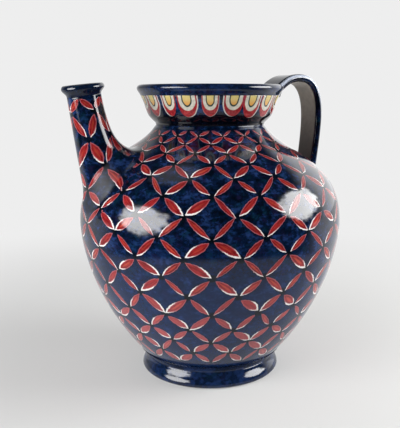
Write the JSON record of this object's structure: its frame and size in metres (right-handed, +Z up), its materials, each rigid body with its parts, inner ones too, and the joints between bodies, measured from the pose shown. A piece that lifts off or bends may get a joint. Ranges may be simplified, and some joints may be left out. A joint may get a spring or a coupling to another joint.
{
  "type": "ceramic jug",
  "caption": "Round-bellied glazed ceramic jug with a flared collar, a tube spout and a strap handle, for holding and pouring liquids.",
  "frame": {"origin": "centre of the flat base, on the jug's axis, where the jug meets the table", "axes": "+Z up along the jug's axis; the spout points to -X and the handle to +X, and the XZ plane halves them both"},
  "size_m": [0.2758, 0.259, 0.2972],
  "materials": {
    "painted_glaze": "clear gloss over cobalt ground with red brushed petals",
    "cobalt_glaze": "gloss",
    "collar_glaze": "clear gloss over painted tongues on cobalt",
    "strap_glaze": "gloss, dull grey-brown on the inner face"
  },
  "bodies": {
    "root": {"body_shell": "painted_glaze", "foot_ring": "cobalt_glaze", "neck_collar": "collar_glaze", "rim_roll": "cobalt_glaze", "spout_tube": "painted_glaze", "spout_lip": "cobalt_glaze", "spout_crook_fill": "painted_glaze", "handle_strap": "strap_glaze"}
  },
  "joints": []
}
